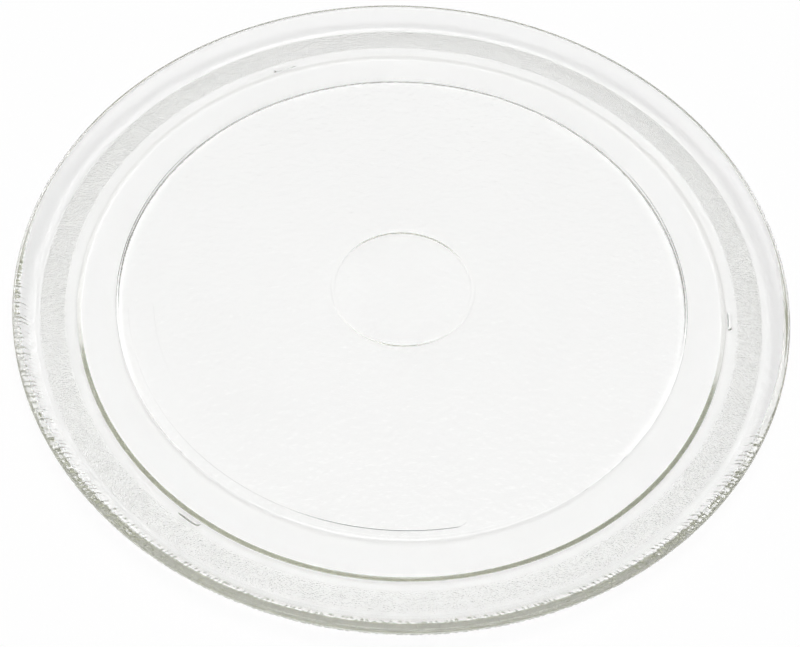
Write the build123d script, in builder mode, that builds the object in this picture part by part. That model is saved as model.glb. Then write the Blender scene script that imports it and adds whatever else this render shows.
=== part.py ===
"""Glass turntable plate for a microwave oven: one pressed piece of clear glass, a flat dish with an upturned rim.

The plate stands on its roller track, with the origin on the axis at that level and +Z up.
"""

import os

from build123d import *

os.makedirs("parts", exist_ok=True)

# Driving dimensions, in millimetres
plate_radius = 135.0  # over the rim
plate_height = 10.9  # from the roller track to the top of the rim
floor_thickness = 4.0

# Floor: a flat middle, a low step, and the roller track around it
middle_radius = 100.0
middle_rise = 0.4  # the middle sits this much higher than the track
step_width = 0.6
step_spread = 0.1  # the step is this much wider on top, to either side
track_radius = 112.6  # outer edge of the track

# Brim: nearly level, outside the small steep shoulder where the track ends
shoulder_width = 2.0
shoulder_height = 1.7
brim_low = 1.8  # underside at the bend
brim_high = 5.0  # top at the bend

# Rim, which turns up from the brim and ends in a rounded edge
bend_low_radius = 128.5
bend_high_radius = 127.1
rim_low = 8.4
rim_inner_radius = 132.3

# Hub ring, which goes round the oven's drive coupling
hub_radius = 24.9
hub_width = 2.2
hub_crest_width = 0.5
hub_height = 0.32

# Long blank panel that follows the step, on the underside of the middle
panel_radius = 92.2
panel_width = 9.0
panel_height = 0.25
panel_start = 190.0  # degrees from +X
panel_sweep = 93.0  # degrees

# Short ribs just outside the track, which keep the rollers on it
rib_count = 3
rib_radius = 115.1
rib_start = -3.5  # degrees from +X
rib_length = 9.0
rib_width = 3.0
rib_bottom = 0.2
rib_depth = 2.2

# Corner radii of the section
hub_round = 0.6
step_low_round = 0.25
step_high_round = 0.4
track_round = 0.9
shoulder_round = 1.1
bend_round = 4.0
rim_low_round = 2.2
rim_high_round = 1.4
rim_inner_round = 1.5
dish_round = 30.0

track_start = middle_radius + step_width
shoulder_radius = track_radius + shoulder_width
middle_top = floor_thickness + middle_rise
hub_tip = middle_rise - hub_height

# Corners of the section as radius, height and corner radius: out along the underside, then back over the top
underside = [
    (0, middle_rise, 0),
    (hub_radius - hub_width / 2, middle_rise, hub_round),
    (hub_radius - hub_crest_width / 2, hub_tip, hub_round),
    (hub_radius + hub_crest_width / 2, hub_tip, hub_round),
    (hub_radius + hub_width / 2, middle_rise, hub_round),
    (middle_radius, middle_rise, step_low_round),
    (track_start, 0, step_low_round),
    (track_radius, 0, track_round),
    (shoulder_radius, shoulder_height, shoulder_round),
    (bend_low_radius, brim_low, bend_round),
    (plate_radius, rim_low, rim_low_round),
]
topside = [
    (plate_radius, plate_height, rim_high_round),
    (rim_inner_radius, plate_height, rim_inner_round),
    (bend_high_radius, brim_high, bend_round),
    (shoulder_radius, floor_thickness, dish_round),
    (track_start + step_spread, floor_thickness, step_high_round),
    (middle_radius - step_spread, middle_top, step_high_round),
    (0, middle_top, 0),
]
corners = underside + topside

with BuildPart() as turntable_plate:
    # Body of the plate, turned from its section
    with BuildSketch(Plane.XZ) as section:
        with BuildLine():
            Polyline([(r, z) for r, z, _ in corners], close=True)
        make_face()
        for r, z, corner_round in corners:
            if corner_round:
                fillet(section.vertices().sort_by_distance((r, z))[0], corner_round)
    revolve(axis=Axis.Z)

    # Blank panel on the underside of the middle
    with BuildSketch(Plane.XY.offset(middle_rise)):
        SlotArc(CenterArc((0, 0), panel_radius, panel_start, panel_sweep), panel_width)
    extrude(amount=-panel_height)

    # Ribs just outside the shoulder
    with BuildSketch(Plane.XY.offset(rib_bottom)):
        with PolarLocations(rib_radius, rib_count, start_angle=rib_start):
            SlotOverall(rib_length, rib_width, rotation=90)
    extrude(amount=rib_depth)

turntable_plate.part.label = "turntable_plate"
export_step(turntable_plate.part, "parts/turntable_plate.step")
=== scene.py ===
import math

import bmesh
import bpy
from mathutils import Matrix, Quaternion, Vector, geometry, noise


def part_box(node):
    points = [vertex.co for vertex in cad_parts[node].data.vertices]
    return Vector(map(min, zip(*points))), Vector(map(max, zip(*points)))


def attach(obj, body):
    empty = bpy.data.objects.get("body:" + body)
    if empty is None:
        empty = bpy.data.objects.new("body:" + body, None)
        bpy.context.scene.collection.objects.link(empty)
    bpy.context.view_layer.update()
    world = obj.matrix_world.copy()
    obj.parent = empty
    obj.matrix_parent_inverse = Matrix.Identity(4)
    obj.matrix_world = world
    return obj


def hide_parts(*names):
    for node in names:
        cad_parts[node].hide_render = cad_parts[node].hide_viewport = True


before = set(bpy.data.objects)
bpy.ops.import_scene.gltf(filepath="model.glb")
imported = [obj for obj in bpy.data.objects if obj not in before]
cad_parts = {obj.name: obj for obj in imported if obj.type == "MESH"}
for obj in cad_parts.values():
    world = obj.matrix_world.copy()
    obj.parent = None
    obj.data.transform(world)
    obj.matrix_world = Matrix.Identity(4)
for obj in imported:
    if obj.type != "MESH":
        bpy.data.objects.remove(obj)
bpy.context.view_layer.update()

# Turntable plate
# One gob of soda-lime glass pressed between an iron mould and a plunger. The plunger leaves the top smooth,
# the mould leaves the hub ring, the panel, the ribs and the grain underneath, and the rim is fire-polished.
# Its sizes are in millimetres, and the mesh is scaled to metres when it is made.
mm = 0.001
plate_low, plate_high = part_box("turntable_plate")
plate_radius = min(-plate_low.x, plate_high.x) / mm
plate_height = plate_high.z / mm

# Floor: a flat middle, a low step, the roller track, and the shoulder where the track ends
floor_thickness = 4.0
middle_radius = 100.0
middle_rise = 0.4
step_width = 0.6
step_spread = 0.1
track_radius = 112.6
shoulder_width = 2.0
shoulder_height = 1.5

# Brim, nearly level, and the rim that turns up from it to a rounded edge
brim_low = 1.8
brim_high = 5.0
bend_low_radius = 128.9
bend_high_radius = 127.1
rim_low = 8.4
rim_inner_radius = 132.3

# Hub ring, which goes round the oven's drive coupling
hub_radius = 24.9
hub_half_width = 1.15
hub_half_crest = 0.25
hub_height = 0.32

# Long blank panel inside the step
panel_radius = 92.2
panel_half_width = 4.5
panel_slope = 0.28
panel_height = 0.25
panel_start = math.radians(190)
panel_sweep = math.radians(93)

# Short ribs just outside the track
rib_count = 3
rib_radius = 115.1
rib_start = math.radians(-3.5)
rib_half_length = 4.5
rib_half_width = 1.5
rib_edge = 0.7
rib_bottom = 0.2

# Grain under the brim: its extent, and the size, height and shape of its pebbles
grain_start = 117.4
grain_end = 126.6
grain_fade = 1.2
grain_size = 0.8
grain_height = 0.12
grain_crown = 0.05
grain_foot = 0.75

# Chill wrinkles in the rim's outside: their spacing, length and depth, their extent, and the levels of noise
# between which they deepen
wrinkle_size = 0.8
wrinkle_length = 4.0
wrinkle_depth = 0.3
wrinkle_start = math.radians(178)
wrinkle_end = math.radians(342)
wrinkle_fade = math.radians(14)
wrinkle_shallow = -0.15
wrinkle_deep = 0.35

# Corner radii of the section
hub_round = 0.8
step_low_round = 0.25
step_high_round = 0.4
track_round = 0.9
shoulder_round = 1.1
bend_round = 4.0
rim_low_round = 2.6
rim_high_round = 1.2
rim_inner_round = 1.5
dish_round = 30.0

# Fineness of the mesh: points in a ring, rings in a band, rings over which the wrinkles fade, the turn of one
# step of a round, and how far a flat runs on beside a round before its next point, so that it shades as flat
coarse_count = 256
rim_count = 3 * coarse_count
brim_count = 6 * coarse_count
brim_rings = 18
wall_count = 9 * coarse_count
wall_rings = 5
wall_fade_in = 2
wall_fade_out = 3
arc_step = math.radians(9)
arc_least_steps = 3
run_on = 0.12
panel_side_steps = 150
panel_cap_steps = 20

track_start = middle_radius + step_width
shoulder_radius = track_radius + shoulder_width
middle_top = floor_thickness + middle_rise
hub_tip = middle_rise - hub_height
panel_tip = middle_rise - panel_height

# Corners of the section as radius, height and corner radius: out along the underside, then back over the top
outer_corners = [
    (0, middle_rise, 0),
    (middle_radius, middle_rise, step_low_round),
    (track_start, 0, step_low_round),
    (track_radius, 0, track_round),
    (shoulder_radius, shoulder_height, shoulder_round),
    (bend_low_radius, brim_low, bend_round),
    (plate_radius, rim_low, rim_low_round),
    (plate_radius, plate_height, rim_high_round),
    (rim_inner_radius, plate_height, rim_inner_round),
    (bend_high_radius, brim_high, bend_round),
    (shoulder_radius, floor_thickness, dish_round),
    (track_start + step_spread, floor_thickness, step_high_round),
    (middle_radius - step_spread, middle_top, step_high_round),
    (0, middle_top, 0),
]
hub_corners = [
    (0, middle_rise, 0),
    (hub_radius - hub_half_width, middle_rise, hub_round),
    (hub_radius - hub_half_crest, hub_tip, hub_round),
    (hub_radius + hub_half_crest, hub_tip, hub_round),
    (hub_radius + hub_half_width, middle_rise, hub_round),
    (middle_radius, middle_rise, 0),
]


def rounded(corners):
    """Each inner corner as the points of its arc, with one more on the straight run at either end."""
    arcs = []
    for before, corner, after in zip(corners, corners[1:], corners[2:]):
        point = Vector(corner[:2])
        radius = corner[2]
        back = (Vector(before[:2]) - point).normalized()
        on = (Vector(after[:2]) - point).normalized()
        half = back.angle(on) / 2
        reach = radius / math.tan(half)
        centre = point + (back + on).normalized() * radius / math.sin(half)
        first = point + back * reach - centre
        turn = math.copysign(math.pi - 2 * half, back.y * on.x - back.x * on.y)
        steps = max(arc_least_steps, math.ceil(abs(turn) / arc_step))
        arc = [point + back * (reach + run_on)]
        for k in range(steps + 1):
            angle = turn * k / steps
            c = math.cos(angle)
            s = math.sin(angle)
            arc.append(centre + Vector((c * first.x - s * first.y, s * first.x + c * first.y)))
        arc.append(point + on * (reach + run_on))
        arcs.append(arc)
    return arcs


def smooth(low, high, x):
    """Rises from 0 at low to 1 at high with level ends."""
    t = min(max((x - low) / (high - low), 0.0), 1.0)
    return t * t * (3 - 2 * t)


vertices = []
faces = []


def ring(radius, height, count):
    """Adds a level ring of points and gives their numbers."""
    start = len(vertices)
    for k in range(count):
        angle = 2 * math.pi * k / count
        vertices.append((radius * math.cos(angle), radius * math.sin(angle), height))
    return list(range(start, start + count))


def bridge(one, other):
    """Fills between two rings, of which the finer has a whole multiple of the other's points."""
    few, many = sorted((one, other), key=len)
    ratio = len(many) // len(few)
    for i, a in enumerate(few):
        b = few[(i + 1) % len(few)]
        fan = [many[(i * ratio + k) % len(many)] for k in range(ratio + 1)]
        if ratio == 1:
            faces.append((a, b, fan[1], fan[0]))
            continue
        for k in range(ratio):
            faces.append((a if k < ratio // 2 else b, fan[k + 1], fan[k]))
        faces.append((a, b, fan[ratio // 2]))


def grain(place):
    """Height of the mould's grain at a point: low round bumps packed like pebbles."""
    distance = noise.voronoi(Vector(place) / grain_size)[0][0]
    return grain_height * (1 - smooth(grain_crown, grain_foot, distance))


def rib_cover(radius, angle):
    """How far a point of the brim belongs to the nearest rib, from 0 to 1."""
    pitch = 2 * math.pi / rib_count
    off = (angle - rib_start + pitch / 2) % pitch - pitch / 2
    along = max(abs(off) * radius - (rib_half_length - rib_half_width), 0.0)
    distance = math.hypot(along, radius - rib_radius)
    return 1 - smooth(rib_half_width - rib_edge, rib_half_width, distance)


def wrinkle(angle, along):
    """Depth of the wrinkles in the rim's outside: short marks across it, on one side of the plate only."""
    angle %= 2 * math.pi
    cover = smooth(wrinkle_start, wrinkle_start + wrinkle_fade, angle)
    cover *= 1 - smooth(wrinkle_end - wrinkle_fade, wrinkle_end, angle)
    wave = noise.noise(Vector((angle * plate_radius / wrinkle_size, along / wrinkle_length, 0.0)))
    return wrinkle_depth * cover * smooth(wrinkle_shallow, wrinkle_deep, wave)


def panel_outline(half_width):
    """Outline of the panel, a slot bent round the plate's axis: each long side and the round end after it."""
    line = [panel_start + panel_sweep * k / panel_side_steps for k in range(panel_side_steps + 1)]
    outer = panel_radius + half_width
    inner = panel_radius - half_width
    outline = []
    for side, angles, end, turn in (
        (outer, line, panel_start + panel_sweep, 0.0),
        (inner, reversed(line), panel_start, math.pi),
    ):
        outline += [(side * math.cos(angle), side * math.sin(angle)) for angle in angles]
        centre = Vector((math.cos(end), math.sin(end))) * panel_radius
        for k in range(1, panel_cap_steps):
            angle = end + turn + math.pi * k / panel_cap_steps
            outline.append(tuple(centre + half_width * Vector((math.cos(angle), math.sin(angle)))))
    return outline


# Arcs of the outer corners, by the stretch of the plate that they belong to
arcs = rounded(outer_corners)
floor_points = [p for arc in arcs[:4] for p in arc]
bend_points = arcs[4]
edge_points = arcs[5]
rim_points = [p for arc in arcs[6:9] for p in arc]
top_points = [p for arc in arcs[9:] for p in arc]

# Underside from the step out to the shoulder
floor_rings = [ring(p.x, p.y, coarse_count) for p in floor_points]
for one, other in zip(floor_rings, floor_rings[1:]):
    bridge(one, other)

# Underside of the brim, with its grain and ribs
brim_foot = floor_points[-1]
brim_run = bend_points[0] - brim_foot
brim_normal = Vector((brim_run.y, -brim_run.x)).normalized()
last = floor_rings[-1]
for k in range(1, brim_rings):
    base = brim_foot + brim_run * k / brim_rings
    cover = smooth(grain_start, grain_start + grain_fade, base.x)
    cover *= 1 - smooth(grain_end, grain_end + grain_fade, base.x)
    numbers = ring(base.x, base.y, brim_count)
    for number in numbers:
        x, y, z = vertices[number]
        angle = math.atan2(y, x)
        rib = rib_cover(base.x, angle)
        lift = cover * (1 - rib) * grain((x, y, z)) if cover else 0.0
        out = base.x + brim_normal.x * lift
        height = base.y + brim_normal.y * lift
        height += rib * min(rib_bottom - height, 0.0)
        vertices[number] = (out * math.cos(angle), out * math.sin(angle), height)
    bridge(last, numbers)
    last = numbers

# Rim's outside, with its wrinkles, which fade out toward the bend and the edge
for p in bend_points:
    numbers = ring(p.x, p.y, coarse_count)
    bridge(last, numbers)
    last = numbers
wall_foot = bend_points[-1]
wall_head = edge_points[0]
wall_side = (wall_head - wall_foot).normalized()
wall_points = [wall_foot.lerp(wall_head, k / wall_rings) for k in range(1, wall_rings)] + edge_points
for k, p in enumerate(wall_points):
    numbers = ring(p.x, p.y, wall_count)
    end_fade = smooth(0, wall_fade_in, k) * smooth(0, wall_fade_out, len(wall_points) - 1 - k)
    for number in numbers:
        x, y, z = vertices[number]
        angle = math.atan2(y, x)
        sunk = end_fade * wrinkle(angle, (p - wall_foot).dot(wall_side))
        out = p.x - wall_side.y * sunk
        vertices[number] = (out * math.cos(angle), out * math.sin(angle), p.y + wall_side.x * sunk)
    bridge(last, numbers)
    last = numbers

# Rim's edge and inside, then the top of the floor, closed at the centre
for count, points in ((rim_count, rim_points), (coarse_count, top_points)):
    for p in points:
        numbers = ring(p.x, p.y, count)
        bridge(last, numbers)
        last = numbers
centre = len(vertices)
vertices.append((0, 0, middle_top))
for k in range(coarse_count):
    faces.append((last[k], last[(k + 1) % coarse_count], centre))

# Underside of the middle, with the hub ring and the panel: loops at their own heights, filled by a flat
# triangulation between them
loops = [floor_rings[0]]
for arc in rounded(hub_corners):
    loops += [ring(p.x, p.y, coarse_count) for p in arc]
panel_levels = [
    (run_on, middle_rise),
    (0.0, middle_rise),
    (-panel_slope, panel_tip),
    (-panel_slope - run_on, panel_tip),
]
for offset, height in panel_levels:
    start = len(vertices)
    vertices.extend((x, y, height) for x, y in panel_outline(panel_half_width + offset))
    loops.append(list(range(start, len(vertices))))
flat_points = []
flat_edges = []
numbers = []
for loop in loops:
    start = len(flat_points)
    flat_points += [Vector(vertices[n][:2]) for n in loop]
    flat_edges += [(start + k, start + (k + 1) % len(loop)) for k in range(len(loop))]
    numbers += loop
fill_all = 0
weld = 1e-6
filled = geometry.delaunay_2d_cdt(flat_points, flat_edges, [], fill_all, weld)
flat_faces = filled[2]
sources = filled[3]
origin = [numbers[source[0]] for source in sources]
faces += [tuple(origin[v] for v in face) for face in flat_faces]

plate_mesh = bpy.data.meshes.new("pressed_plate")
plate_mesh.from_pydata([Vector(v) * mm for v in vertices], [], faces)
shape = bmesh.new()
shape.from_mesh(plate_mesh)
bmesh.ops.recalc_face_normals(shape, faces=shape.faces)
for face in shape.faces:
    face.smooth = True
shape.to_mesh(plate_mesh)
shape.free()
scene = bpy.context.scene
plate = bpy.data.objects.new("pressed_plate", plate_mesh)
scene.collection.objects.link(plate)


def linear(hex_colour):
    """sRGB hex to a linear colour with full alpha."""
    parts = [int(hex_colour[k:k + 2], 16) / 255 for k in (1, 3, 5)]
    return [c / 12.92 if c <= 0.04045 else ((c + 0.055) / 1.055) ** 2.4 for c in parts] + [1.0]


def add_node(tree, kind, inputs=None, **settings):
    """Adds a node, sets its properties, and sets or links its sockets."""
    node = tree.nodes.new(kind)
    for name, value in settings.items():
        setattr(node, name, value)
    for name, value in (inputs or {}).items():
        if isinstance(value, bpy.types.NodeSocket):
            tree.links.new(value, node.inputs[name])
        else:
            node.inputs[name].default_value = value
    return node


# Soda-lime glass, pressed: clear with a faint olive in the depth, and glossy where the plunger and the fire
# polish made it. Underneath, the mould's skin is a little duller and mottled in the middle, and its grain
# frosts the brim.
glass = bpy.data.materials.new("pressed_soda_lime_glass")
glass.use_nodes = True
tree = glass.node_tree
tree.nodes.clear()
place = add_node(tree, "ShaderNodeTexCoord").outputs["Object"]
parts = add_node(tree, "ShaderNodeSeparateXYZ", {0: place})
flat = add_node(tree, "ShaderNodeCombineXYZ", {0: parts.outputs[0], 1: parts.outputs[1]})
radius = add_node(tree, "ShaderNodeVectorMath", {0: flat.outputs[0]}, operation="LENGTH").outputs["Value"]
half_floor = floor_thickness / 2 * mm
underneath = add_node(tree, "ShaderNodeMath", {0: parts.outputs[2], 1: half_floor}, operation="LESS_THAN")

# Mottle of the mould's skin under the middle, which spares the slopes of the hub ring and the panel, so that
# their lines run on unbroken, and goes on over the step
mottle_size = 2.2
mottle_depth = 0.3
skin_blend = 0.3
slope_upright = 0.98
flat_upright = 0.998
panel_margin = 0.5
panel_blend = 1.0
panel_clear = panel_radius + panel_half_width + panel_margin
in_middle = add_node(
    tree, "ShaderNodeMapRange",
    {"Value": radius, "To Min": 1.0, "To Max": 0.0,
     "From Min": (middle_radius - skin_blend) * mm, "From Max": (middle_radius + skin_blend) * mm})
mould_skin = add_node(
    tree, "ShaderNodeMath", {0: in_middle.outputs[0], 1: underneath.outputs[0]}, operation="MULTIPLY")
mottle = add_node(
    tree, "ShaderNodeTexNoise", {"Vector": place, "Scale": 1 / (mottle_size * mm), "Detail": 2.0})
mottle_height = add_node(
    tree, "ShaderNodeMath", {0: mottle.outputs[0], 1: mould_skin.outputs[0]}, operation="MULTIPLY")
facing = add_node(tree, "ShaderNodeNewGeometry").outputs["Normal"]
tilt = add_node(tree, "ShaderNodeSeparateXYZ", {0: facing})
upright = add_node(tree, "ShaderNodeMath", {0: tilt.outputs[2]}, operation="ABSOLUTE")
flatness = add_node(
    tree, "ShaderNodeMapRange",
    {"Value": upright.outputs[0], "From Min": slope_upright, "From Max": flat_upright})
by_step = add_node(
    tree, "ShaderNodeMapRange",
    {"Value": radius, "From Min": panel_clear * mm, "From Max": (panel_clear + panel_blend) * mm})
mottle_share = add_node(
    tree, "ShaderNodeMath", {0: flatness.outputs[0], 1: by_step.outputs[0]}, operation="MAXIMUM")
mottle_bump = add_node(
    tree, "ShaderNodeBump",
    {"Strength": mottle_share.outputs[0], "Distance": mottle_depth * mm, "Height": mottle_height.outputs[0]})

# Slow waves that pressing leaves all over
wave_size = 30.0
wave_depth = 0.06
wave = add_node(tree, "ShaderNodeTexNoise", {"Vector": place, "Scale": 1 / (wave_size * mm), "Detail": 1.0})
wave_bump = add_node(
    tree, "ShaderNodeBump",
    {"Strength": 1.0, "Distance": wave_depth * mm, "Height": wave.outputs[0],
     "Normal": mottle_bump.outputs[0]})

# Fine pebbles of the grain under the brim
pebble_size = 0.4
pebble_depth = 0.31
grain_inside = add_node(
    tree, "ShaderNodeMapRange",
    {"Value": radius, "From Min": grain_start * mm, "From Max": (grain_start + grain_fade) * mm})
grain_outside = add_node(
    tree, "ShaderNodeMapRange",
    {"Value": radius, "To Min": 1.0, "To Max": 0.0,
     "From Min": grain_end * mm, "From Max": (grain_end + grain_fade) * mm})
grain_zone = add_node(
    tree, "ShaderNodeMath", {0: grain_inside.outputs[0], 1: grain_outside.outputs[0]}, operation="MULTIPLY")
grained = add_node(
    tree, "ShaderNodeMath", {0: grain_zone.outputs[0], 1: underneath.outputs[0]}, operation="MULTIPLY")
pebbles = add_node(
    tree, "ShaderNodeTexNoise", {"Vector": place, "Scale": 1 / (pebble_size * mm), "Detail": 1.0})
pebble_height = add_node(
    tree, "ShaderNodeMath", {0: pebbles.outputs[0], 1: grained.outputs[0]}, operation="MULTIPLY")
pebble_bump = add_node(
    tree, "ShaderNodeBump",
    {"Strength": 1.0, "Distance": pebble_depth * mm, "Height": pebble_height.outputs[0],
     "Normal": wave_bump.outputs[0]})

# Gloss: polished on top, duller from the mould underneath, and frosted in the grain
polish_roughness = 0.015
mould_roughness = 0.07
grain_roughness = 0.32
frost = add_node(
    tree, "ShaderNodeMath", {0: grain_zone.outputs[0], 1: grain_roughness, 2: mould_roughness},
    operation="MULTIPLY_ADD")
roughness = add_node(
    tree, "ShaderNodeMath", {0: frost.outputs[0], 1: underneath.outputs[0], 2: polish_roughness},
    operation="MULTIPLY_ADD")

# Body of the glass, with its tint per metre of depth
glass_ior = 1.52
glass_tint = "#dcdfc0"
glass_tint_density = 4.5
surface = add_node(
    tree, "ShaderNodeBsdfPrincipled",
    {"Base Color": linear("#ffffff"), "Roughness": roughness.outputs[0], "IOR": glass_ior,
     "Transmission Weight": 1.0, "Normal": pebble_bump.outputs[0]})
depth = add_node(
    tree, "ShaderNodeVolumeAbsorption", {"Color": linear(glass_tint), "Density": glass_tint_density})
add_node(tree, "ShaderNodeOutputMaterial", {"Surface": surface.outputs[0], "Volume": depth.outputs[0]})
plate_mesh.materials.append(glass)
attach(plate, "root")
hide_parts("turntable_plate")

# Table
# A sheet of white laminate that the plate stands on, wide enough to fill the view. A share of it shows as
# plain white, most of it in the open and less through the glass, and the rest takes the plate's soft shadow.
table_half = 3.0
table_gap = 0.1 * mm
open_share = 0.9
glass_share = 0.35
laminate_white = "#f4f4f4"
table_sides = ((-1, -1), (1, -1), (1, 1), (-1, 1))
table_corners = [(x * table_half, y * table_half, -table_gap) for x, y in table_sides]
table_mesh = bpy.data.meshes.new("white_table")
table_mesh.from_pydata(table_corners, [], [(0, 1, 2, 3)])
table = bpy.data.objects.new("white_table", table_mesh)
scene.collection.objects.link(table)

# White laminate: matt and even, with no pattern that would show at this distance
laminate = bpy.data.materials.new("white_laminate")
laminate.use_nodes = True
tree = laminate.node_tree
tree.nodes.clear()
path = add_node(tree, "ShaderNodeLightPath")
through_glass = add_node(
    tree, "ShaderNodeMath", {0: path.outputs["Is Glossy Ray"], 1: path.outputs["Is Transmission Ray"]},
    operation="MAXIMUM")
glass_white = add_node(
    tree, "ShaderNodeMath", {0: through_glass.outputs[0], 1: glass_share}, operation="MULTIPLY")
open_white = add_node(
    tree, "ShaderNodeMath", {0: path.outputs["Is Camera Ray"], 1: open_share}, operation="MULTIPLY")
white_share = add_node(
    tree, "ShaderNodeMath", {0: open_white.outputs[0], 1: glass_white.outputs[0]}, operation="MAXIMUM")
matt = add_node(tree, "ShaderNodeBsdfDiffuse", {"Color": linear(laminate_white)})
plain_white = add_node(tree, "ShaderNodeEmission", {"Color": linear("#ffffff"), "Strength": 1.0})
both = add_node(
    tree, "ShaderNodeMixShader", {0: white_share.outputs[0], 1: matt.outputs[0], 2: plain_white.outputs[0]})
add_node(tree, "ShaderNodeOutputMaterial", {"Surface": both.outputs[0]})
table_mesh.materials.append(laminate)

# Studio
# A pale room, a little brighter to the right, whose even grey draws the dark edge lines of clear glass, and
# one large soft light overhead, which is dimmer for rays that haven't met the table than for those that have.
# The light isn't sampled on its own, so every ray finds it at the level that belongs to its path.
room_low = 0.40
room_high = 0.42
room_high_from = 0.7
room_lean = 0.25
overhead_axis = Vector((0.06, 0.02, 1.0)).normalized()
overhead_outer = math.radians(24)
overhead_inner = math.radians(4)
overhead_strength = 7.0
mirror_share = 0.2
glass_bounces = 48
world = bpy.data.worlds.new("pale_studio")
scene.world = world
world.use_nodes = True
world.cycles.sampling_method = "NONE"
tree = world.node_tree
tree.nodes.clear()
path = add_node(tree, "ShaderNodeLightPath")
direction = add_node(tree, "ShaderNodeTexCoord").outputs["Generated"]
heading = add_node(tree, "ShaderNodeSeparateXYZ", {0: direction})
rise = add_node(
    tree, "ShaderNodeMapRange",
    {"Value": heading.outputs[2], "From Min": 0.0, "From Max": room_high_from,
     "To Min": room_low, "To Max": room_high},
    interpolation_type="SMOOTHSTEP")
lean = add_node(
    tree, "ShaderNodeMath", {0: heading.outputs[0], 1: room_lean, 2: 1.0}, operation="MULTIPLY_ADD")
room = add_node(tree, "ShaderNodeMath", {0: rise.outputs[0], 1: lean.outputs[0]}, operation="MULTIPLY")
off_axis = add_node(
    tree, "ShaderNodeVectorMath", {0: direction, 1: overhead_axis}, operation="DOT_PRODUCT")
overhead = add_node(
    tree, "ShaderNodeMapRange",
    {"Value": off_axis.outputs["Value"], "To Min": 0.0, "To Max": overhead_strength,
     "From Min": math.cos(overhead_outer), "From Max": math.cos(overhead_inner)},
    interpolation_type="SMOOTHSTEP")
overhead_share = add_node(
    tree, "ShaderNodeMapRange",
    {"Value": path.outputs["Diffuse Depth"], "To Min": mirror_share, "To Max": 1.0})
overhead_light = add_node(
    tree, "ShaderNodeMath", {0: overhead.outputs[0], 1: overhead_share.outputs[0]}, operation="MULTIPLY")
lit_room = add_node(
    tree, "ShaderNodeMath", {0: room.outputs[0], 1: overhead_light.outputs[0]}, operation="ADD")
backdrop = add_node(
    tree, "ShaderNodeMath", {0: path.outputs["Is Camera Ray"], 1: lit_room.outputs[0]}, operation="MAXIMUM")
glow = add_node(tree, "ShaderNodeBackground", {"Color": linear("#ffffff"), "Strength": backdrop.outputs[0]})
add_node(tree, "ShaderNodeOutputWorld", {"Surface": glow.outputs[0]})
scene.view_settings.view_transform = "Standard"
scene.cycles.blur_glossy = 0.0
scene.cycles.max_bounces = glass_bounces
scene.cycles.transmission_bounces = glass_bounces
scene.cycles.glossy_bounces = glass_bounces

# Camera
# It stands at about arm's length in front of the plate and looks down on it at about 54 degrees, turned a
# little about its own axis. Its place is in metres, over the level of the plate's rings.
ring_level = 4.2 * mm
camera_back = 0.3148
camera_height = 0.4202
camera_aim = Vector((-0.0003, -0.0177, ring_level))
camera_roll = math.radians(3.2)
camera_data = bpy.data.cameras.new("camera")
camera_data.sensor_fit = "HORIZONTAL"
camera_data.sensor_width = 36.0
camera_data.lens = 66.74
camera = bpy.data.objects.new("camera", camera_data)
camera.location = (0.0, -camera_back, camera_height + ring_level)
camera.rotation_mode = "QUATERNION"
look = (camera_aim - camera.location).to_track_quat("-Z", "Y")
camera.rotation_quaternion = look @ Quaternion((0, 0, 1), camera_roll)
scene.collection.objects.link(camera)
scene.camera = camera
